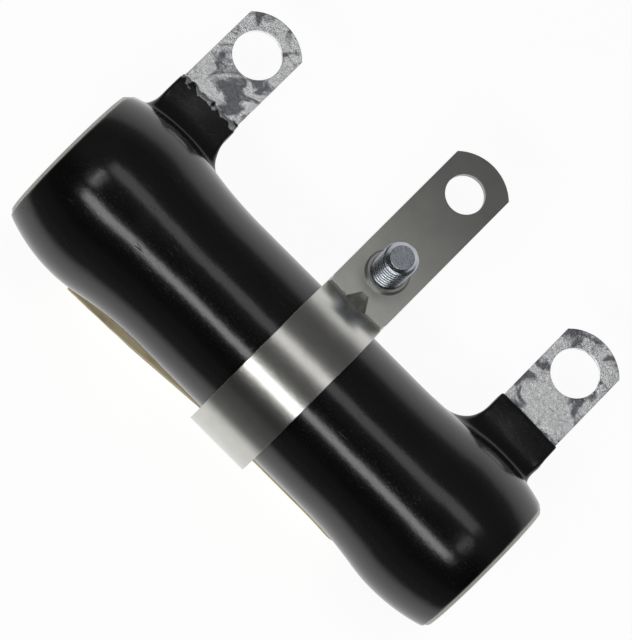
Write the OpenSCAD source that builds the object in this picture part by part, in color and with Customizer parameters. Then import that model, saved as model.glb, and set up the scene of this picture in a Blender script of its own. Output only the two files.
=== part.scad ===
// Adjustable wirewound power resistor: an enamelled ceramic tube with two end
// terminals and a sliding clamp band that taps the bare winding.
// The bore runs along X, the lugs point along +Y, the clamp screw's tip along +Z.

/* [Ceramic core] */
// Length of the ceramic tube
core_l = 50.8; // [48:0.1:56]
// Outer diameter of the ceramic tube
core_d = 14.3; // [13:0.05:15]
// Diameter of the bore through the tube
bore_d = 7.94; // [5:0.01:9]
// Chamfer on the tube's end edges
core_chamfer = 0.3; // [0.1:0.05:0.6]

/* [Resistance winding] */
// Diameter of the resistance wire
wire_d = 0.2; // [0.14:0.01:0.24]
// Distance from one turn to the next
wire_pitch = 0.45; // [0.3:0.05:0.9]
// Bare core between the winding and each terminal band
winding_gap = 0.5; // [0.3:0.1:1]
// Angle of the wire ends round the tube, from +Z towards -Y
lead_angle = 205; // [120:5:240]
// Radius of the braze bead at the edge of each terminal band
braze_r = 0.4; // [0.3:0.02:0.44]

/* [End terminals] */
// Distance from the tube's left end to the middle of the left terminal
left_terminal_inset = 5.35; // [4.8:0.05:6.4]
// Distance from the tube's right end to the middle of the right terminal
right_terminal_inset = 6.15; // [4.8:0.05:6.9]
// Width of the terminal strip
terminal_w = 6.35; // [5:0.05:7]
// Thickness of the terminal strip
terminal_t = 0.5; // [0.4:0.02:0.6]
// Height of a lug's tip above the ceramic tube
lug_h = 15.1; // [13:0.05:19]
// Radius of the arc that rounds a lug's tip
lug_tip_r = 4.3; // [3.6:0.1:6]
// Height of a lug's hole above the ceramic tube
lug_hole_h = 11.25; // [9:0.05:11.8]
// Diameter of a lug's hole
lug_hole_d = 4.54; // [3:0.02:4.8]
// Height of the short end welded behind each lug
lug_lap_h = 2.4; // [1.5:0.1:3.5]

/* [Enamel coat] */
// Thickness of the enamel over the bare core at mid-length
coat_t = 0.24; // [0.2:0.01:0.3]
// Rise of the left end's bulge above the middle of the coat
left_bulge_h = 0.99; // [0.85:0.01:1.2]
// Rise of the right end's bulge above the middle of the coat
right_bulge_h = 0.75; // [0.7:0.01:1.2]
// Distance from the tube's left end to the crest of the left bulge
left_crest_inset = 6; // [5:0.05:6.8]
// Distance from the tube's right end to the crest of the right bulge
right_crest_inset = 5.8; // [5:0.05:6.8]
// Radius of the rounded crest of a bulge
crest_r = 15; // [10:0.5:20]
// Radius of the hollow that leads into a bulge
hollow_r = 39; // [25:1:45]
// Bare core left at each end of the tube
coat_setback = 0.2; // [0.1:0.05:0.4]
// Thickness of the enamel where it stops at an end
coat_end_t = 0.12; // [0.1:0.01:0.2]
// Thickness of the enamel that climbs the lugs
boot_t = 0.22; // [0.15:0.01:0.35]
// Height of the enamel's edge on the lugs above the ceramic tube
boot_h = 5.45; // [4.4:0.05:6.4]
// Radius of the enamel's flare at a lug, towards the middle
boot_inner_r = 3.4; // [1.5:0.1:3.6]
// Radius of the enamel's flare at a lug, towards the end
boot_outer_r = 1.5; // [0.8:0.1:1.8]
// Radius of the enamel's flare on a lug's faces
boot_face_r = 3.2; // [1:0.1:3.6]

/* [Bare track] */
// Angle of the bare track round the tube, from -Y towards -Z
track_angle = 54; // [35:1:60]
// Length of the window in the enamel
track_l = 27; // [24:0.5:28]
// Width of the window in the enamel
track_w = 5; // [3:0.1:5.6]

/* [Protective strip] */
// Thickness of the fibre strip
strip_t = 0.22; // [0.1:0.01:0.26]
// Width of the fibre strip
strip_w = 7.5; // [6.5:0.1:8]
// Place of the strip's left end along the tube
strip_left_x = -17.4; // [-18:0.1:-14]
// Place of the strip's right end along the tube
strip_right_x = 14.6; // [14.2:0.1:17]
// Radius of the strip's corners
strip_corner_r = 1.2; // [0.4:0.1:2]

/* [Slider band] */
// Place of the slider along the tube at rest
slider_x = 1.4; // [-6:0.1:8]
// Width of the slider's strap
strap_w = 6.35; // [5.8:0.05:7]
// Thickness of the slider's strap
strap_t = 0.66; // [0.5:0.02:0.8]
// Room between the enamel coat and the slider's loop, for the fibre strip
loop_room = 0.41; // [0.32:0.01:0.5]
// Distance that the loop hangs off the tube's axis
loop_drop = 0.25; // [0.2:0.01:0.35]
// Gap between the two ears
ear_gap = 0.8; // [0.5:0.05:1.2]
// Radius inside the bend from the loop into an ear
bend_r = 0.4; // [0.2:0.05:0.8]
// Height of the tab's tip above the loop
tab_h = 17.94; // [16:0.02:22]
// Radius of the arc that rounds the tab's tip
tab_tip_r = 4.45; // [3.6:0.05:6]
// Height of the tab's hole above the loop
tab_hole_h = 14.24; // [11:0.02:14.6]
// Diameter of the tab's hole
tab_hole_d = 3.66; // [2:0.02:4.4]
// Height of the rear ear's end above the loop
rear_ear_h = 7.74; // [7:0.02:8.6]
// Width of the pressed rib across the front bend
rib_w = 2.2; // [1.4:0.1:3]
// Height of the pressed rib on the tab
rib_h = 1.2; // [0.8:0.05:1.4]
// Depth of the necks beside the bends
neck_depth = 0.17; // [0.1:0.01:0.3]
// Radius of the necks beside the bends
neck_r = 2.4; // [1.5:0.1:4]

/* [Clamp screw] */
// Height of the clamp screw above the loop
screw_h = 4.04; // [3.7:0.02:4.4]
// Outside diameter of the screw's thread
screw_d = 3.175; // [2.8:0.005:3.4]
// Length of the screw under its head
screw_l = 7.94; // [5:0.02:12]
// Diameter of the screw's head
head_d = 5.3; // [4.6:0.1:5.8]
// Height of the screw's head
head_h = 1.5; // [1.2:0.1:2]
// Width of the slot in the head
slot_w = 0.9; // [0.6:0.05:1.2]
// Depth of the slot in the head
slot_depth = 0.8; // [0.4:0.05:1]
// Wall of the drawn collar round the screw at its base
collar_wall = 0.52; // [0.35:0.01:0.7]
// Height of the drawn collar
collar_h = 0.55; // [0.3:0.05:0.8]
// Diameter of the contact rivet's shank
rivet_d = 1.6; // [1.2:0.05:2]
// Diameter of the contact rivet's domed face
contact_d = 2.6; // [2.3:0.1:3]

/* [Clearances] */
// Radial clearance of the screw in the collar's thread
thread_clearance = 0.04; // [0.02:0.01:0.08]
// Radial clearance of the screw in the rear ear
ear_hole_clearance = 0.2; // [0.1:0.05:0.4]
// Gap between faces that rest on each other
seat_gap = 0.02; // [0.01:0.005:0.03]

/* [Hidden] */
$fn = 96;
core_r = core_d / 2;
wire_r = wire_d / 2;
sleeve_r = core_r + wire_r;
turn_r = core_r + wire_d;
band_r = core_r + terminal_t;
coat_r = core_r + coat_t;
coat_end_x = core_l / 2 - coat_setback;
left_terminal_x = left_terminal_inset - core_l / 2;
right_terminal_x = core_l / 2 - right_terminal_inset;
left_crest_x = left_crest_inset - core_l / 2;
right_crest_x = core_l / 2 - right_crest_inset;
lug_reach = core_r + lug_h;
lug_hole_y = core_r + lug_hole_h;
boot_reach = core_r + boot_h;
winding_left_x = left_terminal_x + terminal_w / 2 + winding_gap;
winding_right_x = right_terminal_x - terminal_w / 2 - winding_gap;
turns = floor((track_l - track_w) / wire_pitch);
strip_r = coat_r + seat_gap;
loop_ir = coat_r + loop_room;
loop_or = loop_ir + strap_t;
tab_reach = loop_or + tab_h;
tab_hole_y = loop_or + tab_hole_h;
rear_ear_reach = loop_or + rear_ear_h;
screw_y = loop_or + screw_h;
ear_face = ear_gap / 2 + strap_t;
bend_y = sqrt(pow(loop_or + bend_r, 2) - pow(ear_face + bend_r, 2)) - loop_drop;
thread_hole_r = screw_d / 2 + thread_clearance;
// A blending arc is cut this much deeper, so that it crosses the lines that it
// joins instead of only touching them.
blend = 0.004;
arc_lap = 1;
over = 1;

// Turns a shape drawn round Z so that its axis lies along the tube.
module along_tube() rotate([0, 90, 0]) children();

// Extrudes a section drawn in the Y-Z plane by w, centred on x.
module across(x, w)
    translate([x - w / 2, 0, 0]) rotate([90, 0, 90]) linear_extrude(w) children();

// Puts +Z along the bare track's outward direction.
module at_track() rotate([90 + track_angle, 0, 0]) children();

module tube(r_out, r_in, x_from, x_to)
    along_tube() difference() {
        translate([0, 0, x_from]) cylinder(r = r_out, h = x_to - x_from);
        translate([0, 0, x_from - over]) cylinder(r = r_in, h = x_to - x_from + 2 * over);
    }

// Ceramic core ------------------------------------------------------------
module ceramic_core() color("gainsboro") along_tube() rotate_extrude() polygon([
    [bore_d / 2, -core_l / 2],
    [core_r - core_chamfer, -core_l / 2],
    [core_r, -core_l / 2 + core_chamfer],
    [core_r, core_l / 2 - core_chamfer],
    [core_r - core_chamfer, core_l / 2],
    [bore_d / 2, core_l / 2]]);

// Resistance winding ------------------------------------------------------
// A wire end lies on the core and stops at the edge of its terminal band.
// side is -1 at the left terminal and 1 at the right one.
module wire_end(terminal_x, side) difference() {
    wire_rod(terminal_x, side);
    along_tube() cylinder(r = core_r, h = 2 * core_l, center = true);
}

module wire_rod(terminal_x, side)
    rotate([lead_angle, 0, 0])
        translate([band_edge_x(terminal_x, side) - side * seat_gap, 0, core_r + 0.8 * wire_r])
            rotate([0, -side * 90, 0])
                cylinder(r = wire_r, h = winding_gap + 2 * wire_d, $fn = 24);

// Place of the edge of a terminal band that faces the winding
function band_edge_x(terminal_x, side) = terminal_x - side * terminal_w / 2;

// The turns that show in the window stand up from the winding as ridges.
module bare_turns() {
    sweep = 2 * asin((track_w / 2 - seat_gap) / turn_r);
    at_track() rotate([90, 0, 90]) rotate([0, 0, 90 - sweep / 2])
        rotate_extrude(angle = sweep) difference() {
            for (i = [0:turns - 1])
                translate([sleeve_r, (i - (turns - 1) / 2) * wire_pitch])
                    circle(r = wire_r, $fn = 16);
            translate([0, -core_l / 2]) square([sleeve_r - wire_r / 4, core_l]);
        }
}

module resistance_winding() color("darkkhaki") {
    tube(sleeve_r, core_r, winding_left_x, winding_right_x);
    bare_turns();
    wire_end(left_terminal_x, -1);
    wire_end(right_terminal_x, 1);
}

// End terminals -----------------------------------------------------------
module rounded_tip(reach, w, tip_r) intersection() {
    translate([-w / 2, 0]) square([w, reach]);
    union() {
        translate([0, reach - tip_r]) circle(r = tip_r);
        translate([-w / 2, 0]) square([w, reach - tip_r]);
    }
}

module terminal_strip(x) {
    root_y = core_r + terminal_t / 2;
    tube(band_r, core_r, x - terminal_w / 2, x + terminal_w / 2);
    difference() {
        translate([x, 0, 0]) linear_extrude(terminal_t)
            rounded_tip(lug_reach, terminal_w, lug_tip_r);
        along_tube() cylinder(r = root_y, h = 2 * core_l, center = true);
    }
    difference() {
        translate([x - terminal_w / 2, 0, -terminal_t])
            cube([terminal_w, band_r + lug_lap_h, terminal_t]);
        along_tube() cylinder(r = root_y, h = 2 * core_l, center = true);
    }
}

module terminal(x) difference() {
    terminal_strip(x);
    translate([x, lug_hole_y, -over]) cylinder(d = lug_hole_d, h = terminal_t + 2 * over);
}

module left_terminal() color("silver") terminal(left_terminal_x);

module right_terminal() color("silver") terminal(right_terminal_x);

// Braze beads -------------------------------------------------------------
module bead_ball(terminal_x, side)
    rotate([lead_angle, 0, 0])
        translate([band_edge_x(terminal_x, side) - side * braze_r / 4, 0, core_r])
            sphere(r = braze_r, $fn = 48);

module braze_bead(terminal_x, side) color("goldenrod") difference() {
    bead_ball(terminal_x, side);
    along_tube() cylinder(r = core_r, h = 2 * core_l, center = true);
    along_tube() translate([0, 0, terminal_x - terminal_w / 2])
        cylinder(r = coat_r + over, h = terminal_w);
    wire_rod(terminal_x, side);
}

module left_braze_bead() braze_bead(left_terminal_x, -1);

module right_braze_bead() braze_bead(right_terminal_x, 1);

// Enamel coat -------------------------------------------------------------
// One end of the coat's outline: X is the radius and Y runs outwards along the
// tube. The crest arc falls to the end, and meets the middle in a hollow arc.
module bulge_outline(crest_x, rise) {
    crest = coat_r + rise;
    reach = bulge_run(rise);
    share = crest_r / (crest_r + hollow_r);
    join = [crest - share * rise, crest_x - share * reach];
    end_r = end_arc_r(crest_x, rise);
    base = core_r / 2;
    intersection() {
        translate([crest - crest_r, crest_x]) circle(r = crest_r, $fn = 180);
        translate([base, join[1] - arc_lap]) square([core_r, crest_x - join[1] + arc_lap]);
    }
    intersection() {
        translate([crest - end_r, crest_x]) circle(r = end_r, $fn = 180);
        translate([base, crest_x]) square([core_r, coat_end_x - crest_x]);
    }
    difference() {
        polygon([
            [base, join[1]],
            [base, crest_x - reach],
            [coat_r, crest_x - reach],
            join]);
        translate([coat_r + hollow_r, crest_x - reach])
            circle(r = hollow_r + blend, $fn = 360);
    }
}

module coat_outline() {
    left_middle = left_crest_x + bulge_run(left_bulge_h);
    right_middle = right_crest_x - bulge_run(right_bulge_h);
    translate([core_r / 2, left_middle - arc_lap])
        square([coat_r - core_r / 2, right_middle - left_middle + 2 * arc_lap]);
    bulge_outline(right_crest_x, right_bulge_h);
    mirror([0, 1]) bulge_outline(-left_crest_x, left_bulge_h);
}

// Length from a bulge's crest to the level middle of the coat
function bulge_run(rise) =
    sqrt(pow(crest_r + hollow_r, 2) - pow(crest_r + hollow_r - rise, 2));

// Radius of the arc from a crest down to the coat's end
function end_arc_r(crest_x, rise) =
    let (run = coat_end_x - crest_x, drop = coat_r + rise - core_r - coat_end_t)
    (pow(run, 2) + pow(drop, 2)) / (2 * drop);

// A lug's enamel boot: the coat on its edges and faces, flaring into the tube.
// outwards is the direction of the tube's nearer end, -1 or 1. Both flares end
// inside the tube's own coat, so that no edge of the boot stands off it.
module lug_boot(x, outwards) {
    half_w = terminal_w / 2 + boot_t;
    half_t = terminal_t + boot_t;
    face_base = sqrt(pow(coat_r, 2) - pow(half_t + boot_face_r, 2));
    intersection() {
        translate([x, 0, -core_r]) linear_extrude(core_d)
            mirror([outwards < 0 ? 1 : 0, 0]) {
                translate([-half_w, 0]) square([2 * half_w, boot_reach]);
                cove(half_w, coat_r, boot_outer_r);
                mirror([1, 0]) cove(half_w, coat_r, boot_inner_r);
            }
        across(x, core_d) {
            translate([0, -half_t]) square([boot_reach, 2 * half_t]);
            mirror([1, -1]) for (side = [0, 1]) mirror([side, 0])
                cove(half_t, face_base, boot_face_r);
        }
    }
}

// A concave corner of radius r between an upright at x and a floor at y
module cove(x, y, r) difference() {
    square([x + r, y + r]);
    translate([x + r, y + r]) circle(r = r + blend);
}

module track_window(l, w)
    at_track() linear_extrude(core_d) stadium(l, w);

module stadium(l, w) {
    square([l - w, w], center = true);
    for (side = [-1, 1]) translate([side * (l - w) / 2, 0]) circle(d = w);
}

module enamel_coat() color([0.06, 0.06, 0.06]) difference() {
    union() {
        along_tube() rotate_extrude() coat_outline();
        lug_boot(left_terminal_x, -1);
        lug_boot(right_terminal_x, 1);
    }
    along_tube() cylinder(r = core_r, h = 2 * core_l, center = true);
    tube(sleeve_r, core_r - over, winding_left_x, winding_right_x);
    terminal_strip(left_terminal_x);
    terminal_strip(right_terminal_x);
    wire_rod(left_terminal_x, -1);
    wire_rod(right_terminal_x, 1);
    bead_ball(left_terminal_x, -1);
    bead_ball(right_terminal_x, 1);
    track_window(track_l, track_w);
}

// Protective strip --------------------------------------------------------
module protective_strip() color([0.58, 0.54, 0.42]) intersection() {
    along_tube() rotate_extrude() difference() {
        translate([seat_gap + strip_t, 0]) coat_outline();
        translate([seat_gap, 0]) coat_outline();
    }
    at_track() linear_extrude(core_d)
        rounded_rectangle(strip_left_x, strip_right_x, strip_w, strip_corner_r);
}

module rounded_rectangle(x_from, x_to, w, r) {
    translate([x_from, r - w / 2]) square([x_to - x_from, w - 2 * r]);
    translate([x_from + r, -w / 2]) square([x_to - x_from - 2 * r, w]);
    for (x = [x_from + r, x_to - r], y = [r - w / 2, w / 2 - r])
        translate([x, y]) circle(r = r);
}

// Slider band -------------------------------------------------------------
// The strap's section: X is the tube's +Y and Y is the tube's +Z.
module strap_section() difference() {
    union() {
        translate([-loop_drop, 0]) circle(r = loop_or);
        translate([0, ear_gap / 2]) square([tab_reach, strap_t]);
        translate([0, -ear_face]) square([rear_ear_reach, strap_t]);
        for (side = [0, 1]) mirror([0, side]) bend_fill();
    }
    translate([-loop_drop, 0]) circle(r = loop_ir);
    translate([0, -ear_gap / 2]) square([tab_reach + over, ear_gap]);
    for (side = [0, 1]) mirror([0, side]) bend_cut();
}

// Unit vector from the centre of the front bend to the centre of the loop
function bend_to_loop() = -[bend_y + loop_drop, ear_face + bend_r] / (loop_or + bend_r);

module bend_fill() {
    centre = [bend_y, ear_face + bend_r];
    difference() {
        polygon([
            centre,
            centre + bend_r * bend_to_loop(),
            [bend_y - bend_r, ear_face - strap_t / 2],
            [bend_y, ear_face - strap_t / 2]]);
        translate(centre) circle(r = bend_r + blend, $fn = 48);
    }
}

module bend_cut() {
    centre = [bend_y, ear_face + bend_r];
    outside = bend_r + strap_t;
    difference() {
        polygon([
            centre,
            centre + (outside + seat_gap) * bend_to_loop(),
            [loop_ir - loop_drop - strap_t / 2, ear_gap / 2 - seat_gap],
            [bend_y, ear_gap / 2 - seat_gap]]);
        translate(centre) circle(r = outside + blend, $fn = 64);
    }
}

// The corners outside a rounded tip, cut from z_from upwards
module tip_corners(reach, tip_r, z_from)
    translate([slider_x, reach - tip_r, z_from]) linear_extrude(strap_t + over)
        difference() {
            translate([-strap_w, 0]) square([2 * strap_w, tip_r + over]);
            circle(r = tip_r);
        }

// A rib pressed across the front bend, with its crest at 45 degrees
module bend_rib() {
    crest = rib_h / sqrt(2);
    difference() {
        translate([slider_x, bend_y, ear_face]) rotate([45, 0, 0])
            linear_extrude(4 * rib_h, center = true)
                polygon([
                    [-rib_w / 2, -strap_t / 2],
                    [-rib_w / 2, 0],
                    [-rib_w / 6, crest],
                    [rib_w / 6, crest],
                    [rib_w / 2, 0],
                    [rib_w / 2, -strap_t / 2]]);
        across(slider_x, 2 * strap_w) {
            translate([0, -loop_or]) square([tab_reach, loop_or + ear_face - strap_t / 2]);
            translate([-loop_drop, 0]) circle(r = loop_or - strap_t / 2);
        }
    }
}

module slider_band() color("lightsteelblue") difference() {
    union() {
        across(slider_x, strap_w) strap_section();
        bend_rib();
        translate([slider_x, screw_y, ear_face - strap_t / 2])
            cylinder(r1 = thread_hole_r + collar_wall, r2 = thread_hole_r + collar_wall / 2,
                h = strap_t / 2 + collar_h);
    }
    tip_corners(tab_reach, tab_tip_r, ear_gap / 2 - over / 2);
    tip_corners(rear_ear_reach, strap_w / 2, -ear_face - over / 2);
    translate([slider_x, tab_hole_y, 0]) cylinder(d = tab_hole_d, h = ear_face + over);
    translate([slider_x, screw_y, 0]) cylinder(r = thread_hole_r, h = ear_face + collar_h + over);
    translate([slider_x, screw_y, -ear_face - over])
        cylinder(r = screw_d / 2 + ear_hole_clearance, h = ear_face + over);
    for (side = [-1, 1])
        translate([slider_x + side * (strap_w / 2 + neck_r - neck_depth),
            bend_y - bend_r, -ear_face - loop_ir / 4])
            cylinder(r = neck_r, h = 2 * ear_face + loop_ir / 2);
    at_contact() cylinder(d = rivet_d, h = loop_or + over);
}

// Contact rivet -----------------------------------------------------------
// Puts the origin at the loop's centre and +Z through the contact.
module at_contact()
    translate([slider_x, -loop_drop, 0]) at_track() children();

module contact_rivet() color("wheat") {
    strip_face = sqrt(pow(strip_r + strip_t, 2) - pow(loop_drop * sin(track_angle), 2))
        - loop_drop * cos(track_angle);
    tip = strip_face + seat_gap;
    dome_h = loop_ir - tip;
    dome_r = (pow(contact_d / 2, 2) + pow(dome_h, 2)) / (2 * dome_h);
    at_contact() {
        intersection() {
            translate([0, 0, tip + dome_r]) sphere(r = dome_r);
            translate([0, 0, tip]) cylinder(d = contact_d, h = dome_h);
            along_tube() cylinder(r = loop_ir - seat_gap, h = contact_d, center = true);
        }
        translate([0, 0, tip + dome_h / 2])
            cylinder(d = rivet_d - 2 * seat_gap, h = loop_or - tip);
        difference() {
            translate([0, 0, loop_ir]) cylinder(d = 1.5 * rivet_d, h = 1.5 * strap_t);
            along_tube() cylinder(r = loop_or + seat_gap, h = 2 * contact_d, center = true);
        }
    }
}

// Clamp screw -------------------------------------------------------------
module clamp_screw() color("slategray") {
    chamfer = screw_d / 6;
    translate([slider_x, screw_y, -ear_face - seat_gap]) difference() {
        union() {
            cylinder(d = screw_d, h = screw_l - chamfer);
            translate([0, 0, screw_l - chamfer])
                cylinder(d1 = screw_d, d2 = screw_d - 2 * chamfer, h = chamfer);
            translate([0, 0, -head_h]) intersection() {
                cylinder(d = head_d, h = head_h);
                translate([0, 0, head_d]) sphere(r = head_d);
            }
        }
        translate([-head_d, -slot_w / 2, -head_h - over])
            cube([2 * head_d, slot_w, slot_depth + over]);
    }
}

ceramic_core();
resistance_winding();
left_terminal();
right_terminal();
left_braze_bead();
right_braze_bead();
enamel_coat();
protective_strip();
slider_band();
contact_rivet();
clamp_screw();
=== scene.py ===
"""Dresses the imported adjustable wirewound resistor: black enamel, solder-dipped
lugs, satin strap, fibre strip and threaded screw, on a white table under lamps.
Everything is in metres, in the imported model's own frame: the bore runs along X,
the lugs point along +Y and the clamp screw's tip along +Z."""

import math

import bpy
import numpy as np
from mathutils import Matrix, Vector, noise
from mathutils.bvhtree import BVHTree


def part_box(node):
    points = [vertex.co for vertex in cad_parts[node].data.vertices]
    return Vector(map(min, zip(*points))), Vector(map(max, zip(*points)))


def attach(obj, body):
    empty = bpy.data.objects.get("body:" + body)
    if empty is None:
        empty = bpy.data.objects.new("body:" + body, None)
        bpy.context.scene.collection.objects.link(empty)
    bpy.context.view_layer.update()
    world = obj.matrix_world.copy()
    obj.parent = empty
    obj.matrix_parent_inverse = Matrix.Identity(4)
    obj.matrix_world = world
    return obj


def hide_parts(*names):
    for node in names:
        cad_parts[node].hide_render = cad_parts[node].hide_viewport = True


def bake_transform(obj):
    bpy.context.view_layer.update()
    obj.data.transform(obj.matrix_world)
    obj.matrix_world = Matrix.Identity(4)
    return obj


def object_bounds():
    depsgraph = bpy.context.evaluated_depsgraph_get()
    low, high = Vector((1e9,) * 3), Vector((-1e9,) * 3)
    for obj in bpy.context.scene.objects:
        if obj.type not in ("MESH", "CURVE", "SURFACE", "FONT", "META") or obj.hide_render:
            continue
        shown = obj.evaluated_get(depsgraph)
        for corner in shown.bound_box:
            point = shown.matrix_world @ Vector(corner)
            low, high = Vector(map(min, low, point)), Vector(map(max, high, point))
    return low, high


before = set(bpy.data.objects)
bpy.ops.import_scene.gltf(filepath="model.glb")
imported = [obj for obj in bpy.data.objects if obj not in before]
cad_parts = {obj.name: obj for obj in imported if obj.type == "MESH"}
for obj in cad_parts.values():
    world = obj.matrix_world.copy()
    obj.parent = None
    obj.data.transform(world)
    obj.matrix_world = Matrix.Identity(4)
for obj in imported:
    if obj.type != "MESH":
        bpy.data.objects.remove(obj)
cad_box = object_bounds()

MM = 0.001
X_AXIS = np.array([1.0, 0.0, 0.0])

# Places and sizes of the CAD nodes that the new pieces fit to
core_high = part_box("ceramic_core")[1]
strap_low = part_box("slider_band")[0]
strip_low, strip_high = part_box("protective_strip")
screw_low, screw_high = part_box("clamp_screw")
left_lug_low, left_lug_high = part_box("left_terminal")
right_lug_low, right_lug_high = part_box("right_terminal")
enamel_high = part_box("enamel_coat")[1]
core_r = core_high.y
half_l = core_high.x
LUGS = ((left_lug_low, left_lug_high), (right_lug_low, right_lug_high))


# Materials -------------------------------------------------------------------
class Finish:
    """A procedural material round one Principled shader. Its textures take
    positions in millimetres, so a noise scale of 2 has features of half a
    millimetre."""

    def __init__(self, name, colour, roughness, metallic=0.0, **sockets):
        self.material = bpy.data.materials.new(name)
        self.material.use_nodes = True
        self.tree = self.material.node_tree
        self.shader = self.tree.nodes["Principled BSDF"]
        self.set(self.shader, {"Base Color": (*colour, 1.0), "Roughness": roughness,
                               "Metallic": metallic, **sockets})
        place = self.tree.nodes.new("ShaderNodeTexCoord")
        scale = self.tree.nodes.new("ShaderNodeVectorMath")
        scale.operation = "SCALE"
        scale.inputs["Scale"].default_value = 1 / MM
        self.tree.links.new(place.outputs["Object"], scale.inputs[0])
        self.place = scale.outputs[0]

    def set(self, node, inputs):
        """Sets or links each named or numbered input of a node."""
        for key, value in inputs.items():
            if isinstance(value, bpy.types.NodeSocket):
                self.tree.links.new(value, node.inputs[key])
            else:
                node.inputs[key].default_value = value
        return node

    def add(self, kind, inputs, **settings):
        node = self.tree.nodes.new("ShaderNode" + kind)
        for key, value in settings.items():
            setattr(node, key, value)
        return self.set(node, inputs)

    def stretch(self, x, y, z, place=None):
        """The position with each axis scaled, for grain that runs one way."""
        node = self.add("VectorMath", {0: place or self.place, 1: (x, y, z)},
                        operation="MULTIPLY")
        return node.outputs[0]

    def noise(self, scale, detail=3.0, rough=0.55, place=None, distortion=0.0):
        return self.add("TexNoise", {
            "Vector": place or self.place, "Scale": scale, "Detail": detail,
            "Roughness": rough, "Distortion": distortion}).outputs["Fac"]

    def cells(self, scale, place=None, feature="F1"):
        return self.add("TexVoronoi", {"Vector": place or self.place, "Scale": scale},
                        feature=feature).outputs["Distance"]

    def math(self, operation, a, b=0.0, c=0.0):
        return self.add("Math", {0: a, 1: b, 2: c}, operation=operation).outputs[0]

    def span(self, value, low, high, to_low=0.0, to_high=1.0, smooth=True):
        """Carries value from the span low..high to the span to_low..to_high."""
        return self.add("MapRange", {
            "Value": value, "From Min": low, "From Max": high, "To Min": to_low,
            "To Max": to_high},
            interpolation_type="SMOOTHSTEP" if smooth else "LINEAR").outputs["Result"]

    def mix(self, share, a, b):
        """A colour between a and b."""
        node = self.add("Mix", {"Factor": share}, data_type="RGBA")
        for socket, value in ((node.inputs[6], a), (node.inputs[7], b)):
            if isinstance(value, bpy.types.NodeSocket):
                self.tree.links.new(value, socket)
            else:
                socket.default_value = (*value, 1.0)
        return node.outputs[2]

    def axis(self, name):
        return self.add("SeparateXYZ", {0: self.place}).outputs[name]

    def bump(self, height, depth, normal=None, strength=1.0):
        """A bump whose height of 1 stands depth millimetres proud."""
        inputs = {"Height": height, "Distance": depth * MM, "Strength": strength}
        if normal is not None:
            inputs["Normal"] = normal
        return self.add("Bump", inputs).outputs["Normal"]

    def rounded(self, radius):
        """The normal with its sharp edges rounded to a radius in millimetres."""
        return self.add("Bevel", {"Radius": radius * MM}, samples=6).outputs["Normal"]

    def finish(self, **sockets):
        self.set(self.shader, {key.replace("_", " "): v for key, v in sockets.items()})
        return self.material


def dress(node_name, material):
    """Gives a shown CAD node its material."""
    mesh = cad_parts[node_name].data
    mesh.materials.clear()
    mesh.materials.append(material)


def bare_solder_share(f):
    """Where solder shows through the enamel's ragged edge, high on the left lug."""
    ragged = f.math("ADD", f.axis("Y"), f.span(f.noise(1.1, 3.0), 0.2, 0.8, -0.45, 0.45))
    above = f.span(ragged, 11.85, 12.0)
    below = f.span(ragged, 12.5, 12.65, 1, 0)
    broken = f.math("MULTIPLY", f.span(f.axis("X"), -14, -13, 1, 0.0),
                    f.span(f.noise(0.9, 2.0), 0.38, 0.45))
    return f.math("MULTIPLY", f.math("MULTIPLY", above, below), broken)


def enamel_finish():
    """Fired black enamel: deep gloss, faint orange peel, specks and scuffs."""
    f = Finish("black_enamel", (0.006, 0.006, 0.0065), 0.12, IOR=1.55)
    cloud = f.noise(0.22, 2.0)
    colour = f.mix(cloud, (0.004, 0.004, 0.0042), (0.011, 0.0105, 0.011))
    speck = f.span(f.noise(9.0, 2.0), 0.5, 0.8)
    scuff_cut = f.noise(0.5, 2.0, place=f.stretch(0.25, 1, 1))
    scuff_line = f.noise(6.0, 3.0, place=f.stretch(0.08, 1, 1))
    scuff = f.math("MULTIPLY", f.span(scuff_cut, 0.58, 0.7), f.span(scuff_line, 0.55, 0.7))
    rough = f.math("ADD", f.span(speck, 0, 1, 0.15, 0.34), f.math("MULTIPLY", scuff, 0.25))
    peel = f.bump(f.noise(0.9, 2.0, 0.4), 0.010)
    grain = f.bump(f.noise(7.0, 2.0, 0.5), 0.0035, peel)
    bare = bare_solder_share(f)
    colour = f.mix(bare, colour, (0.85, 0.86, 0.88))
    return f.finish(Base_Color=colour, Metallic=bare, Roughness=rough, Normal=grain)


def solder_finish():
    """Dipped solder on a stamped lug: bright, crinkled, with dull patches."""
    f = Finish("dipped_solder", (0.80, 0.81, 0.82), 0.2, 1.0)
    patch = f.noise(0.45, 3.0, 0.6, distortion=0.6)
    dull = f.span(patch, 0.47, 0.6)
    colour = f.mix(dull, (0.93, 0.94, 0.95), (0.22, 0.23, 0.25))
    rough = f.span(f.noise(3.0, 3.0), 0.3, 0.7, 0.12, 0.3)
    # The lugs are bent forward a few degrees, which turns them to the back lamp
    leaning = f.bump(f.axis("Y"), 0.09, f.rounded(0.14))
    swell = f.bump(f.noise(0.6, 2.0, 0.5), 0.12, leaning)
    crinkle = f.bump(f.noise(3.2, 4.0, 0.65, place=f.stretch(0.75, 1.3, 1)), 0.065, swell)
    grain = f.bump(f.noise(14.0, 2.0), 0.006, crinkle)
    return f.finish(Base_Color=colour, Roughness=rough, Normal=grain)


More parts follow.
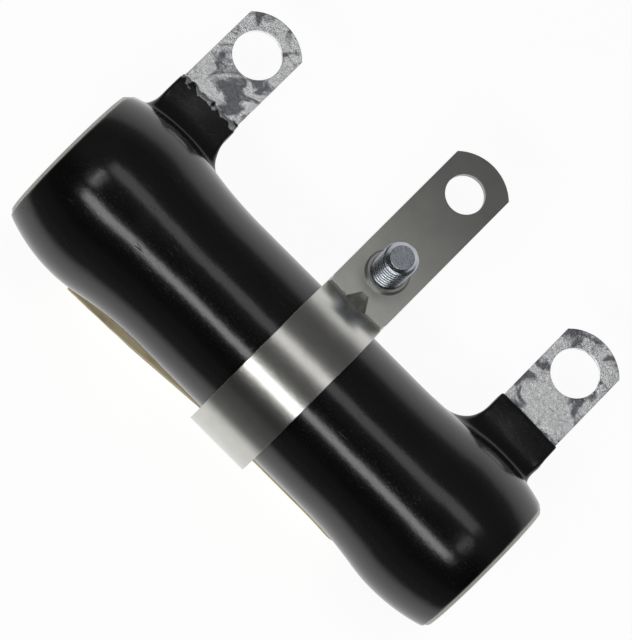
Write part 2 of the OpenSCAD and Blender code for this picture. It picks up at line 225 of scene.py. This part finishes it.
def nickel_finish():
    """Satin nickel plate on the rolled strap, matt and finely pitted, with painted shade darkening
    it out along the tab.
    """
    f = Finish("satin_nickel", (0.60, 0.59, 0.56), 0.3, 1.0)
    plate = f.mix(f.noise(0.5, 3.0), (0.50, 0.50, 0.475), (0.66, 0.65, 0.615))
    pits = f.noise(16.0, 3.0, 0.6)
    tab = f.span(f.axis("Y"), 8.2, 9.4)
    # Painted shade: the plate's colour darkens towards black along +Y, out over the tab
    tab_painted_shade = f.span(f.axis("Y"), 8.5, 24, 0, 0.62)
    tint = f.mix(tab_painted_shade, plate, (0.1, 0.1, 0.098))
    rough = f.math("ADD", f.span(pits, 0.3, 0.7, 0.19, 0.27), f.math("MULTIPLY", tab, 0.12))
    ripple = f.bump(f.noise(1.6, 2.0), 0.004, f.rounded(0.05))
    grain = f.bump(pits, 0.003, ripple)
    return f.finish(Base_Color=tint, Roughness=rough, Normal=grain)


def screw_finish():
    """Plated screw steel, bluish, with a fine drawn grain."""
    f = Finish("blued_screw_steel", (0.42, 0.45, 0.5), 0.28, 1.0)
    tint = f.mix(f.noise(1.4, 3.0), (0.30, 0.33, 0.38), (0.56, 0.59, 0.63))
    rough = f.span(f.noise(7.0, 3.0), 0.3, 0.7, 0.18, 0.36)
    return f.finish(Base_Color=tint, Roughness=rough, Normal=f.bump(f.noise(12.0), 0.004))


def ceramic_finish():
    """Matt fired ceramic with small brown specks."""
    f = Finish("fired_ceramic", (0.72, 0.69, 0.63), 0.62)
    speck = f.span(f.cells(3.2), 0.02, 0.16)
    tint = f.mix(f.noise(0.8, 4.0), (0.66, 0.62, 0.55), (0.78, 0.76, 0.71))
    colour = f.mix(speck, (0.40, 0.34, 0.27), tint)
    grain = f.bump(f.noise(6.0, 5.0, 0.7), 0.03, f.rounded(0.08))
    return f.finish(Base_Color=colour, Normal=grain)


def wire_finish():
    """Drawn resistance wire, browned by the firing."""
    f = Finish("resistance_wire", (0.36, 0.32, 0.26), 0.34, 1.0)
    tint = f.mix(f.noise(1.2, 3.0), (0.27, 0.22, 0.17), (0.50, 0.46, 0.40))
    drawn = f.bump(f.noise(20.0, 2.0, place=f.stretch(1, 0.1, 0.1)), 0.004)
    return f.finish(Base_Color=tint, Roughness=f.span(f.noise(5.0), 0.3, 0.7, 0.26, 0.44),
                    Normal=drawn)


def fibre_finish():
    """Pressed fibre board: tan, matt, with short fibres along the strip, and a painted glow."""
    f = Finish("tan_fibre", (0.30, 0.26, 0.165), 0.82)
    fibres = f.noise(5.0, 5.0, 0.65, place=f.stretch(0.3, 1, 1))
    tint = f.mix(fibres, (0.31, 0.27, 0.17), (0.46, 0.41, 0.28))
    stain_and_glow = f.mix(f.span(f.noise(0.35, 3.0), 0.45, 0.75), tint, (0.29, 0.24, 0.14))
    # A painted glow: the strip emits its own stained colour, standing in for light from the lit
    # table shining through the thin fibre
    return f.finish(Base_Color=stain_and_glow, Normal=f.bump(fibres, 0.02), Emission_Color=stain_and_glow,
                    Emission_Strength=0.55)


def contact_finish():
    """The rivet's silver alloy, a little tarnished."""
    f = Finish("contact_alloy", (0.72, 0.68, 0.6), 0.3, 1.0)
    tint = f.mix(f.noise(2.0, 3.0), (0.55, 0.5, 0.42), (0.8, 0.77, 0.7))
    return f.finish(Base_Color=tint, Normal=f.bump(f.noise(9.0), 0.01, f.rounded(0.05)))


def braze_finish():
    """A lumpy bead of yellow braze."""
    f = Finish("braze", (0.62, 0.5, 0.28), 0.3, 1.0)
    tint = f.mix(f.noise(3.0), (0.5, 0.38, 0.2), (0.7, 0.58, 0.34))
    return f.finish(Base_Color=tint, Normal=f.bump(f.noise(5.0), 0.03))


# Meshes ----------------------------------------------------------------------
def smoothstep(x, low, high):
    t = np.clip((x - low) / (high - low), 0.0, 1.0)
    return t * t * (3 - 2 * t)


def new_piece(name, points, faces, material, smooth=True):
    mesh = bpy.data.meshes.new(name)
    mesh.from_pydata([tuple(p) for p in points], [], faces)
    mesh.update()
    piece = bpy.data.objects.new(name, mesh)
    bpy.context.scene.collection.objects.link(piece)
    if material is not None:
        mesh.materials.append(material)
    if smooth:
        mesh.shade_smooth()
    return piece


def points_of(mesh):
    flat = np.empty(len(mesh.vertices) * 3, np.float32)
    mesh.vertices.foreach_get("co", flat)
    return flat.reshape(-1, 3).astype(float)


def move_points(mesh, points):
    mesh.vertices.foreach_set("co", points.astype(np.float32).ravel())
    mesh.update()


def normals_of(mesh):
    flat = np.empty(len(mesh.vertices) * 3, np.float32)
    mesh.vertex_normals.foreach_get("vector", flat)
    return flat.reshape(-1, 3).astype(float)


def edges_of(mesh):
    flat = np.empty(len(mesh.edges) * 2, np.int32)
    mesh.edges.foreach_get("vertices", flat)
    return flat.reshape(-1, 2)


def relaxed(points, edges, rounds, share=0.5):
    """Moves each point part of the way to its neighbours' middle, some rounds."""
    count = np.bincount(edges.ravel(), minlength=len(points))[:, None]
    for _ in range(rounds):
        total = np.zeros_like(points)
        np.add.at(total, edges[:, 0], points[edges[:, 1]])
        np.add.at(total, edges[:, 1], points[edges[:, 0]])
        points = points + share * (total / np.maximum(count, 1) - points)
    return points


def noise_at(points, scale, seed):
    """Smooth noise from -1 to 1, with features of scale metres."""
    shift = Vector((seed * 17.3, seed * 5.1, seed * 9.7))
    return np.array([noise.noise(Vector(p) / scale + shift) for p in points])


def grid_faces(rows, columns, closed_columns=True):
    """Quads between rows of points, each row a ring if closed_columns."""
    faces = []
    for i in range(rows - 1):
        for j in range(columns if closed_columns else columns - 1):
            k = (j + 1) % columns
            faces.append((i * columns + j, i * columns + k,
                          (i + 1) * columns + k, (i + 1) * columns + j))
    return faces


# Enamel coat -----------------------------------------------------------------
TRACK_ANGLE = math.radians(54)
TRACK_OUT = np.array([0.0, -math.cos(TRACK_ANGLE), -math.sin(TRACK_ANGLE)])
TRACK_SIDE = np.array([0.0, -math.sin(TRACK_ANGLE), math.cos(TRACK_ANGLE)])
TRACK_HALF_L = 13.5 * MM
TRACK_HALF_W = 2.5 * MM
VOXEL = 0.13 * MM


def coat_profile():
    """The coat's radius along the tube, on the side away from the lugs and the track."""
    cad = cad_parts["enamel_coat"].data
    tree = BVHTree.FromPolygons([v.co for v in cad.vertices],
                                [tuple(f.vertices) for f in cad.polygons])
    out = Vector((0, -math.sqrt(0.5), math.sqrt(0.5)))
    stations = np.linspace(-half_l + 0.02 * MM, half_l - 0.02 * MM, 600)
    tops = []
    for x in stations:
        hit = tree.ray_cast(Vector((x, 0, 0)) + out * 0.02, -out)[0]
        tops.append(math.hypot(hit.y, hit.z) if hit else core_r)
    return stations, np.array(tops)


def smooth_profile(stations, tops):
    fine = np.linspace(stations[0], stations[-1], 2001)
    raw = np.interp(fine, stations, tops)
    width = 12
    kernel = np.exp(-0.5 * (np.arange(-3 * width, 3 * width + 1) / width) ** 2)
    padded = np.pad(raw, 3 * width, mode="edge")
    return fine, np.convolve(padded, kernel / kernel.sum(), mode="valid")


def in_window(points, margin):
    """True for each point inside the stadium of the bare track, less the margin."""
    along = np.maximum(np.abs(points[:, 0]) - (TRACK_HALF_L - TRACK_HALF_W), 0)
    across = points @ TRACK_SIDE
    reach = np.hypot(along, across)
    facing = points @ TRACK_OUT > 0
    return facing * (reach < TRACK_HALF_W - margin)


def core_filler():
    """A thick-walled tube inside the coat, sunk where the bare track is."""
    rows, columns = 330, 300
    top, sunk, inner = core_r + 0.15 * MM, core_r - 0.6 * MM, core_r - 1.2 * MM
    xs = np.linspace(-half_l + 0.3 * MM, half_l - 0.3 * MM, rows)
    turn = np.linspace(0, 2 * math.pi, columns, endpoint=False)
    x, a = np.meshgrid(xs, turn, indexing="ij")
    ring = np.stack([x.ravel(), top * np.cos(a).ravel(), top * np.sin(a).ravel()], 1)
    sink = in_window(ring, 0.08 * MM)
    outer = ring * np.stack([np.ones(len(ring)), *[1 - sink * (1 - sunk / top)] * 2], 1)
    bore = ring * np.array([1, inner / top, inner / top])
    faces = grid_faces(rows, columns)
    n = rows * columns
    faces += [tuple(reversed([v + n for v in f])) for f in grid_faces(rows, columns)]
    last = n - columns
    for j in range(columns):
        k = (j + 1) % columns
        faces.append((j, j + n, k + n, k))
        faces.append((last + j, last + k, last + k + n, last + j + n))
    return np.concatenate([outer, bore]), faces


def slab(low, high):
    """The eight corners and six faces of a box."""
    points = [(x, y, z) for x in (low[0], high[0]) for y in (low[1], high[1])
              for z in (low[2], high[2])]
    faces = [(0, 1, 3, 2), (4, 6, 7, 5), (0, 4, 5, 1), (2, 3, 7, 6), (0, 2, 6, 4), (1, 5, 7, 3)]
    return np.array(points), faces


def boot_edge(points, low, high, base, wave, seed):
    """Where the enamel ends on a lug, along Y, for points across the lug."""
    side = np.where(points[:, 2] > 0, 0.0, 7.0)
    place = np.stack([points[:, 0], side * MM, np.zeros(len(points))], 1)
    broad = noise_at(place, 1.9 * MM, seed)
    fine = noise_at(place, 0.6 * MM, seed + 1)
    return base + wave * (broad + 0.5 * fine)


# Lumps of enamel at the outer roots of the boots: x, y, z, radius and height in mm
# Wet lumps of enamel: place in mm, then reach and height in mm
LUMPS = [(-24.6, 7.6, 0.6, 0.9, 0.22), (-23.6, 8.3, -0.2, 0.7, 0.2), (23.5, 8.9, 0.3, 0.55, 0.3),
         (22.9, 9.9, 0.0, 0.6, 0.12), (-15.9, 9.4, 0.3, 0.8, 0.1)]


# Each boot's upper edge: its lug, height, wave and the wave's seed
BOOTS = [(LUGS[0], 12.5 * MM, 0.35 * MM, 5), (LUGS[1], 12.42 * MM, 0.12 * MM, 9)]


def fused_coat():
    """One closed skin round the CAD coat, its filling and the lugs under the boots."""
    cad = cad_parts["enamel_coat"].data
    parts = [(points_of(cad), [tuple(p.vertices) for p in cad.polygons]), core_filler()]
    for low, high in LUGS:
        parts.append(slab((low.x + 0.1 * MM, core_r - 0.4 * MM, -0.45 * MM),
                          (high.x - 0.1 * MM, enamel_high.y - 0.08 * MM, 0.45 * MM)))
    points, faces, start = [], [], 0
    for part_points, part_faces in parts:
        points.append(part_points)
        faces += [tuple(v + start for v in f) for f in part_faces]
        start += len(part_points)
    rough = new_piece("enamel_source", np.concatenate(points), faces, None, smooth=False)
    remesh = rough.modifiers.new("fuse", "REMESH")
    remesh.mode = "VOXEL"
    remesh.voxel_size = VOXEL
    fused = bpy.data.meshes.new_from_object(
        rough.evaluated_get(bpy.context.evaluated_depsgraph_get()))
    bpy.data.objects.remove(rough)
    return fused


def near_lug_share(p):
    """1 on the boots and their roots, falling to 0 on the plain tube."""
    near = np.zeros(len(p))
    for low, high in LUGS:
        middle, half = (low.x + high.x) / 2, (high.x - low.x) / 2
        reach_x = np.maximum(np.abs(p[:, 0] - middle) - half, 0) / (4.2 * MM)
        reach_z = np.abs(p[:, 2]) / (4.8 * MM)
        closeness = 1 - smoothstep(np.maximum(reach_x, reach_z), 0.7, 1.0)
        near = np.maximum(near, closeness * smoothstep(p[:, 1], 3 * MM, 5 * MM))
    return near


def snap_to_profile(p, edges, radius, wanted, near_lug):
    """Draws the tube's outside onto the CAD profile and smooths the boots' roots."""
    ends = enamel_high.x
    outside = smoothstep(radius, wanted - 0.12 * MM, wanted - 0.05 * MM)
    inside_ends = 1 - smoothstep(np.abs(p[:, 0]), ends - 0.35 * MM, ends - 0.1 * MM)
    hold = outside * inside_ends * (1 - near_lug)
    scale = 1 + hold * (wanted / radius - 1)
    p[:, 1] *= scale
    p[:, 2] *= scale
    soft = near_lug * (1 - smoothstep(p[:, 1], 9 * MM, 10.5 * MM))
    p += soft[:, None] * (relaxed(p, edges, 25) - p)


def lump_heights(p, radius, wanted, near_lug):
    """How far each point swells along its normal."""
    lumps = 0.018 * MM * noise_at(p, 4.5 * MM, 1) * (radius > core_r)
    boot = near_lug * smoothstep(radius, wanted + 0.1 * MM, wanted + 1.2 * MM)
    lumps += boot * 0.05 * MM * noise_at(p, 3.0 * MM, 3)
    for x, y, z, reach, height in LUMPS:
        far = np.linalg.norm(p - np.array([x, y, z]) * MM, axis=1) / (reach * MM)
        lumps += height * MM * np.exp(-(far ** 2))
    return lumps


def trim_boots(p):
    """Gives each boot a wavy upper edge that thins towards the lug."""
    for (low, high), base, wave, seed in BOOTS:
        mine = (p[:, 0] > low.x - MM) & (p[:, 0] < high.x + MM) & (p[:, 1] > 10.5 * MM)
        q = p[mine]
        edge = np.minimum(boot_edge(q, low, high, base, wave, seed), enamel_high.y)
        rise = smoothstep(q[:, 1], 10.6 * MM, 12.4 * MM)
        q[:, 1] += rise * (edge - enamel_high.y + 0.05 * MM)
        thin = 1 - 0.55 * smoothstep(q[:, 1], edge - 0.9 * MM, edge)
        face = np.where(q[:, 2] > 0, high.z, low.z)
        outside = np.abs(q[:, 2]) > np.abs(face)
        q[:, 2] = np.where(outside, face + (q[:, 2] - face) * thin, q[:, 2])
        p[mine] = q
    p[:, 1] = np.minimum(p[:, 1], enamel_high.y)


def build_enamel(material):
    """The enamel as it was fired: smooth over the tube, lumpy and ragged at the lugs."""
    fused = fused_coat()
    edges = edges_of(fused)
    p = relaxed(points_of(fused), edges, 8)
    radius = np.hypot(p[:, 1], p[:, 2])
    wanted = np.interp(p[:, 0], *smooth_profile(*coat_profile()))
    near_lug = near_lug_share(p)
    snap_to_profile(p, edges, radius, wanted, near_lug)
    move_points(fused, p)
    p = p + normals_of(fused) * lump_heights(p, radius, wanted, near_lug)[:, None]
    trim_boots(p)
    move_points(fused, p)
    piece = bpy.data.objects.new("enamel_skin", fused)
    bpy.context.scene.collection.objects.link(piece)
    fused.materials.clear()
    fused.materials.append(material)
    fused.shade_smooth()
    return piece


# Clamp screw -----------------------------------------------------------------
THREAD_PITCH = 0.635 * MM
THREAD_DEPTH = 0.33 * MM
THREAD_STEPS = 14  # rings of points to a turn of the thread
SHANK_R = 3.175 / 2 * MM
HEAD_H = 1.5 * MM
HEAD_CROWN = 0.28 * MM
HEAD_ROUND = 0.06 * MM
TIP_CHAMFER = 0.5 * MM
SLOT_W, SLOT_DEPTH = 0.9 * MM, 0.8 * MM


def build_screw(material):
    """The screw with a cut thread that fades into its chamfer, and a slotted head."""
    centre = (screw_low + screw_high) / 2
    head_r = (screw_high.x - screw_low.x) / 2
    seat = screw_low.z + HEAD_H
    top = screw_high.z
    columns = 72
    turn = np.linspace(0, 2 * math.pi, columns, endpoint=False)
    rings = []
    # The head: crowned underside, rounded rim, flat seat
    for share in np.linspace(0.02, 1, 12):
        rings.append((screw_low.z + HEAD_CROWN * share ** 2.5,
                      np.full(columns, head_r * share)))
    rings.append((screw_low.z + 0.5 * MM, np.full(columns, head_r)))
    rings.append((seat - HEAD_ROUND, np.full(columns, head_r)))
    rings.append((seat, np.full(columns, head_r - HEAD_ROUND)))
    rings.append((seat, np.full(columns, SHANK_R)))
    # The thread: a groove that winds with the angle, and a chamfer at the tip
    steps = int((top - seat) / (THREAD_PITCH / THREAD_STEPS))
    for z in np.linspace(seat + 0.02 * MM, top, steps):
        phase = (z / THREAD_PITCH - turn / (2 * math.pi)) % 1.0
        groove = np.clip(1.25 - np.abs(phase - 0.5) * 2.9, 0, 1)
        groove = groove * groove * (3 - 2 * groove)
        cone = SHANK_R - np.maximum(TIP_CHAMFER - (top - z), 0) * 1.05
        r = SHANK_R - THREAD_DEPTH * groove * smoothstep(z, seat, seat + 0.5 * MM)
        rings.append((z, np.minimum(r, cone)))
    last_r = rings[-1][1].min()
    for share in (0.97, 0.9, 0.6, 0.3, 0.02):
        rings.append((top, np.full(columns, last_r * share)))
    points = [(centre.x + r[j] * math.cos(turn[j]), centre.y + r[j] * math.sin(turn[j]), z)
              for z, r in rings for j in range(columns)]
    faces = grid_faces(len(rings), columns)
    faces.append(tuple(reversed(range(columns))))
    start = (len(rings) - 1) * columns
    faces.append(tuple(range(start, start + columns)))
    screw = new_piece("threaded_clamp_screw", points, faces, material)
    cutter_points, cutter_faces = slab(
        (centre.x - head_r - MM, centre.y - SLOT_W / 2, screw_low.z - MM),
        (centre.x + head_r + MM, centre.y + SLOT_W / 2, screw_low.z + SLOT_DEPTH))
    cutter = new_piece("slot_cutter", cutter_points, cutter_faces, None, smooth=False)
    cut = screw.modifiers.new("slot", "BOOLEAN")
    cut.object = cutter
    cut.solver = "EXACT"
    mesh = bpy.data.meshes.new_from_object(
        screw.evaluated_get(bpy.context.evaluated_depsgraph_get()))
    bpy.data.objects.remove(cutter)
    screw.modifiers.clear()
    screw.data = mesh
    mesh.set_sharp_from_angle(angle=math.radians(50))
    return screw


# Fibre strip -----------------------------------------------------------------
STRIP_T = 0.22 * MM
STRIP_HALF_W = 3.75 * MM
STRIP_CORNER = 1.2 * MM
STRIP_MEET_X = 1.0 * MM
STRIP_BED = 0.26 * MM  # the strip's inner face over the bare track, from the core
STRIP_LIFT = 0.87 * MM  # how far its left end stands off
STRIP_GAP = 0.02 * MM


def build_strip_half(name, x_from, x_to, material, fine, profile):
    """One half of the strip, from x_from under the band to its free end x_to.
    Left of the band it lifts off the coat and flattens as it rises."""
    columns, rows = 41, 121
    band_edge = strap_low.x
    points = []
    for face in (0, 1):
        for i in range(rows):
            s = i / (rows - 1)
            x = x_from + (x_to - x_from) * s
            to_end = abs(x_to - x)
            trim = 0.0
            if to_end < STRIP_CORNER:
                trim = STRIP_CORNER - math.sqrt(STRIP_CORNER ** 2 - (STRIP_CORNER - to_end) ** 2)
            half = STRIP_HALF_W - trim
            lift = max(0.0, (band_edge - x) / (band_edge - strip_low.x))
            on_coat = np.interp(x, fine, profile)
            rise = on_coat + STRIP_GAP
            if x < band_edge:
                rise = max(core_r + STRIP_BED + lift * STRIP_LIFT, rise)
            curve = (1 - 0.5 * lift) / rise
            for j in range(columns):
                t = half * (2 * j / (columns - 1) - 1)
                w = rise + face * STRIP_T - curve * t * t / 2 * (1 + 0.12 * (t * curve) ** 2)
                ripple = 0.02 * MM * noise.noise(Vector((x, t, 0)) / (3 * MM))
                p = X_AXIS * x + TRACK_OUT * (w + ripple * lift) + TRACK_SIDE * t
                # the free end bends no lower than the CAD strip
                points.append(np.maximum(p, (p[0], strip_low.y, strip_low.z)))
    n = rows * columns
    faces = [tuple(reversed(f)) for f in grid_faces(rows, columns, False)]
    faces += [tuple(v + n for v in f) for f in grid_faces(rows, columns, False)]
    rim = ([(0, j) for j in range(columns)] + [(i, columns - 1) for i in range(1, rows)]
           + [(rows - 1, j) for j in range(columns - 2, -1, -1)]
           + [(i, 0) for i in range(rows - 2, 0, -1)])
    for (i, j), (k, m) in zip(rim, rim[1:] + rim[:1]):
        a, b = i * columns + j, k * columns + m
        faces.append((a, b, b + n, a + n))
    if x_to < x_from:
        faces = [tuple(reversed(f)) for f in faces]
    piece = new_piece(name, points, faces, material)
    piece.data.set_sharp_from_angle(angle=math.radians(40))
    return piece


# The object ------------------------------------------------------------------
enamel = enamel_finish()
solder = solder_finish()
nickel = nickel_finish()
fibre = fibre_finish()
braze = braze_finish()

dress("ceramic_core", ceramic_finish())
dress("resistance_winding", wire_finish())
dress("left_terminal", solder)
dress("right_terminal", solder)
dress("left_braze_bead", braze)
dress("right_braze_bead", braze)
dress("slider_band", nickel)
dress("contact_rivet", contact_finish())

skin = build_enamel(enamel)
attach(skin, "resistor_tube")
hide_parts("enamel_coat")

screw = build_screw(screw_finish())
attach(screw, "screw")
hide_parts("clamp_screw")

profile = smooth_profile(*coat_profile())
for half_name, x_from, x_to in (("fibre_strip_left", STRIP_MEET_X, strip_low.x),
                                ("fibre_strip_right", STRIP_MEET_X, strip_high.x)):
    half = build_strip_half(half_name, x_from, x_to, fibre, *profile)
    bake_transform(half)
    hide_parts("protective_strip")

# Table -----------------------------------------------------------------------
TABLE_HALF = 3.0
TABLE_GLOW, TABLE_GLOW_SHARE = 1.15, 0.8


def table_finish():
    """A white light table. Its diffuse share keeps the object's shadow, and in
    reflections it fades to dark in front, as the photo's does."""
    f = Finish("white_table", (0.9, 0.9, 0.9), 0.9)
    path = f.tree.nodes.new("ShaderNodeLightPath")
    fade = f.span(f.axis("Y"), -45, -22, 0.06, 1)
    level = f.math("MAXIMUM", path.outputs["Is Camera Ray"], fade)
    paper = f.tree.nodes.new("ShaderNodeBsdfDiffuse")
    paper.inputs["Color"].default_value = (0.9, 0.9, 0.9, 1)
    glow = f.tree.nodes.new("ShaderNodeEmission")
    f.tree.links.new(f.math("MULTIPLY", level, TABLE_GLOW), glow.inputs["Strength"])
    mixed = f.tree.nodes.new("ShaderNodeMixShader")
    mixed.inputs[0].default_value = TABLE_GLOW_SHARE
    f.tree.links.new(paper.outputs[0], mixed.inputs[1])
    f.tree.links.new(glow.outputs[0], mixed.inputs[2])
    f.tree.links.new(mixed.outputs[0], f.tree.nodes["Material Output"].inputs["Surface"])
    return f.material


table_z = cad_box[0].z
table = new_piece("table", [(-TABLE_HALF, -TABLE_HALF, table_z), (TABLE_HALF, -TABLE_HALF, table_z),
                            (TABLE_HALF, TABLE_HALF, table_z), (-TABLE_HALF, TABLE_HALF, table_z)],
                  [(0, 1, 2, 3)], table_finish(), smooth=False)

# Light -----------------------------------------------------------------------
# Four lamps frame the camera, as a studio ring light does. A lamp's angle is
# measured in the Y-Z plane, from +Y through +Z.
LAMP_DISTANCE = 300 * MM
LAMPS = [  # name, angle, place along X, length along X, width, radiance
    ("front_lamp", 127.5, 0, 240, 54, 4.4),
    ("back_lamp", 80, 0, 240, 72, 1.15),
    ("left_lamp", 103, -125, 26, 120, 3.2),
    ("right_lamp", 103, 125, 22, 120, 1.6),
]


def lamp(name, angle, along, length, width, radiance):
    data = bpy.data.lights.new(name, "AREA")
    data.shape = "RECTANGLE"
    data.size, data.size_y = length * MM, width * MM
    data.energy = radiance * math.pi * data.size * data.size_y
    away = Vector((0, math.cos(math.radians(angle)), math.sin(math.radians(angle))))
    place = away * LAMP_DISTANCE + Vector((along * MM, 0, 0))
    back = place.normalized()
    side = Vector((1, 0, 0))
    side = (side - back * side.dot(back)).normalized()
    up = back.cross(side)
    obj = bpy.data.objects.new(name, data)
    obj.matrix_world = Matrix.Translation(place) @ Matrix((side, up, back)).transposed().to_4x4()
    obj.visible_camera = False
    bpy.context.scene.collection.objects.link(obj)


for settings in LAMPS:
    lamp(*settings)

# The room's light: bright at the horizon, dim overhead, and dim in front
world = bpy.data.worlds.new("studio")
bpy.context.scene.world = world
world.use_nodes = True
sky = world.node_tree.nodes["Background"]
place = world.node_tree.nodes.new("ShaderNodeTexCoord")
split = world.node_tree.nodes.new("ShaderNodeSeparateXYZ")
fade = world.node_tree.nodes.new("ShaderNodeValToRGB")
world.node_tree.links.new(place.outputs["Generated"], split.inputs[0])
world.node_tree.links.new(split.outputs["Z"], fade.inputs[0])
world.node_tree.links.new(fade.outputs[0], sky.inputs["Color"])
front = world.node_tree.nodes.new("ShaderNodeMapRange")
front.inputs["From Min"].default_value, front.inputs["From Max"].default_value = -0.35, 0.05
front.inputs["To Min"].default_value, front.inputs["To Max"].default_value = 0.1, 1.0
world.node_tree.links.new(split.outputs["Y"], front.inputs["Value"])
world.node_tree.links.new(front.outputs[0], sky.inputs["Strength"])
ramp = fade.color_ramp
ramp.elements[0].position, ramp.elements[0].color = 0.0, (0.9, 0.9, 0.9, 1)
ramp.elements[1].position, ramp.elements[1].color = 1.0, (0.12, 0.12, 0.12, 1)
for position, level in ((0.18, 0.75), (0.34, 0.16), (0.6, 0.08)):
    ramp.elements.new(position).color = (level, level, level, 1)

# Camera ----------------------------------------------------------------------
# The camera looks down at the tube from slightly in front, rolled by an eighth
# of a turn, as the object lies across the picture.
TILT = math.radians(17.5)
CAMERA_DISTANCE = 443 * MM
AIM_X, AIM_UP = -0.07 * MM, 4.94 * MM

camera = bpy.data.objects.new("camera", bpy.data.cameras.new("camera"))
camera.data.lens = 288.3
camera.data.sensor_width = 36
camera.data.clip_start, camera.data.clip_end = 0.01, 20
bpy.context.scene.collection.objects.link(camera)
bpy.context.scene.camera = camera
back = Vector((0, -math.sin(TILT), math.cos(TILT)))
along = Vector((1, 0, 0))
across = Vector((0, math.cos(TILT), math.sin(TILT)))
right, up = (along + across).normalized(), (across - along).normalized()
eye = along * AIM_X + across * AIM_UP + back * CAMERA_DISTANCE
camera.matrix_world = Matrix.Translation(eye) @ Matrix((right, up, back)).transposed().to_4x4()

bpy.context.scene.view_settings.view_transform = "Standard"
